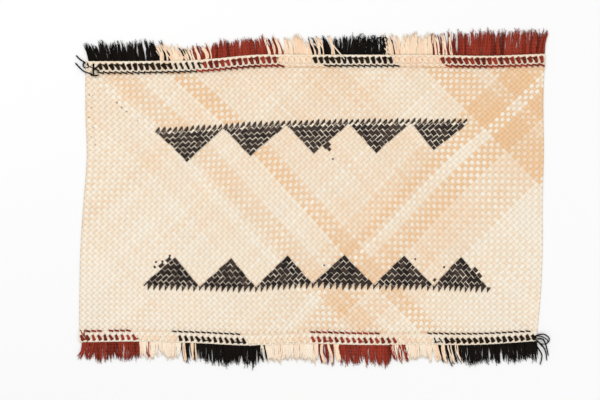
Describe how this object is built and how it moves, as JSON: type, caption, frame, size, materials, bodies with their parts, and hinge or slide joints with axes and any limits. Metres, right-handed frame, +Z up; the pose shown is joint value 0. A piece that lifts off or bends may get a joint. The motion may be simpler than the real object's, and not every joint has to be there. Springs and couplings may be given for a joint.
{
  "type": "pandanus mat",
  "caption": "Flat oblong mat plaited on the bias from pandanus strips, with rows of black triangles, turned hems sewn with wool and a wool fringe along both long edges.",
  "frame": {"origin": "middle of the laid-out mat with its fringes, on the surface that it lies on", "axes": "+X along the hems, +Y towards the longer fringe, +Z up from the underside"},
  "size_m": [0.746, 0.5334, 0.0038],
  "materials": {
    "pandanus": "dried leaf strips, slightly waxy",
    "black_wool": "matte plied wool",
    "natural_wool": "matte plied wool",
    "red_wool": "matte plied wool"
  },
  "bodies": {
    "root": {"mat": "pandanus", "fringe_top_1_black": "black_wool", "fringe_top_2_natural": "natural_wool", "fringe_top_3_red": "red_wool", "fringe_top_4_natural": "natural_wool", "fringe_top_5_black": "black_wool", "fringe_top_6_natural": "natural_wool", "fringe_top_7_red": "red_wool", "fringe_bottom_1_red": "red_wool", "fringe_bottom_2_natural": "natural_wool", "fringe_bottom_3_black": "black_wool", "fringe_bottom_4_natural": "natural_wool", "fringe_bottom_5_red": "red_wool", "fringe_bottom_6_natural": "natural_wool", "fringe_bottom_7_black": "black_wool"}
  },
  "joints": []
}
